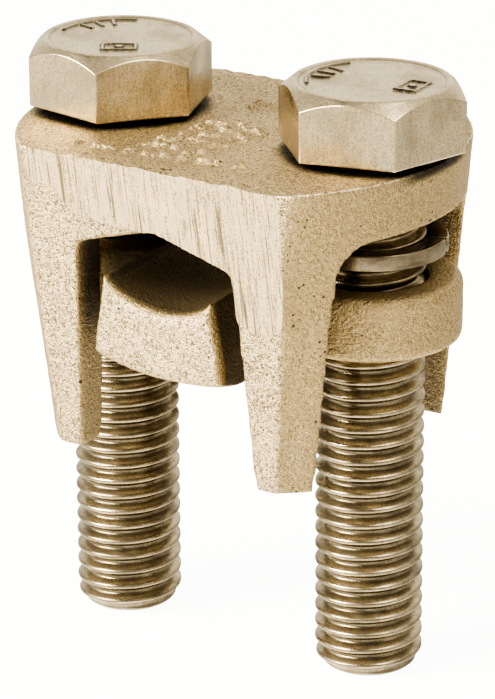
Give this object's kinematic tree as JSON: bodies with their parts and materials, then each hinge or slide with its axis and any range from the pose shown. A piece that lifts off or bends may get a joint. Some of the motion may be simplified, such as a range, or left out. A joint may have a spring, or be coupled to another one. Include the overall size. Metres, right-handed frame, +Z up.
{
  "type": "ground clamp",
  "caption": "Cast two-bolt ground clamp: a four-legged saddle over a grooved, tapped jaw that long hex bolts with lock rings draw up onto a round conductor.",
  "frame": {"origin": "bottom centre of the clamp at rest, midway between the two bolt tips, in the plane of the tips", "axes": "+X from the left bolt to the right bolt, +Y along the clamped conductor from the front window to the back one, +Z up along the bolts to their heads"},
  "size_m": [0.0556, 0.0384, 0.0708],
  "materials": {
    "saddle_bronze": "sand-cast bronze, machined front and back faces",
    "jaw_bronze": "sand-cast bronze",
    "bolt_bronze": "satin silicon bronze with rolled threads",
    "ring_bronze": "satin bronze"
  },
  "bodies": {
    "saddle": {"saddle": "saddle_bronze"},
    "jaw": {"jaw": "jaw_bronze"},
    "bolt_left": {"bolt_left": "bolt_bronze", "lock_ring_left": "ring_bronze"},
    "bolt_right": {"bolt_right": "bolt_bronze", "lock_ring_right": "ring_bronze"}
  },
  "joints": [
    {"name": "bolt_right_turn", "type": "hinge", "parent": "saddle", "child": "bolt_right", "pos_m": [0.01705, 0, 0.0628], "axis": [0, 0, -1], "range_deg": [-6130, 410]},
    {"name": "bolt_left_turn", "type": "hinge", "parent": "saddle", "child": "bolt_left", "pos_m": [-0.01705, 0, 0.0628], "axis": [0, 0, -1], "range_deg": [-6130, 410]},
    {"name": "jaw_slide", "type": "slide", "parent": "saddle", "child": "jaw", "axis": [0, 0, 1], "range_m": [-0.0332, 0.0022]}
  ],
  "couplings": [
    {"joint": "bolt_right_turn", "follows": "jaw_slide", "rad_per_m": 3215.8},
    {"joint": "bolt_left_turn", "follows": "jaw_slide", "rad_per_m": 3215.8}
  ]
}
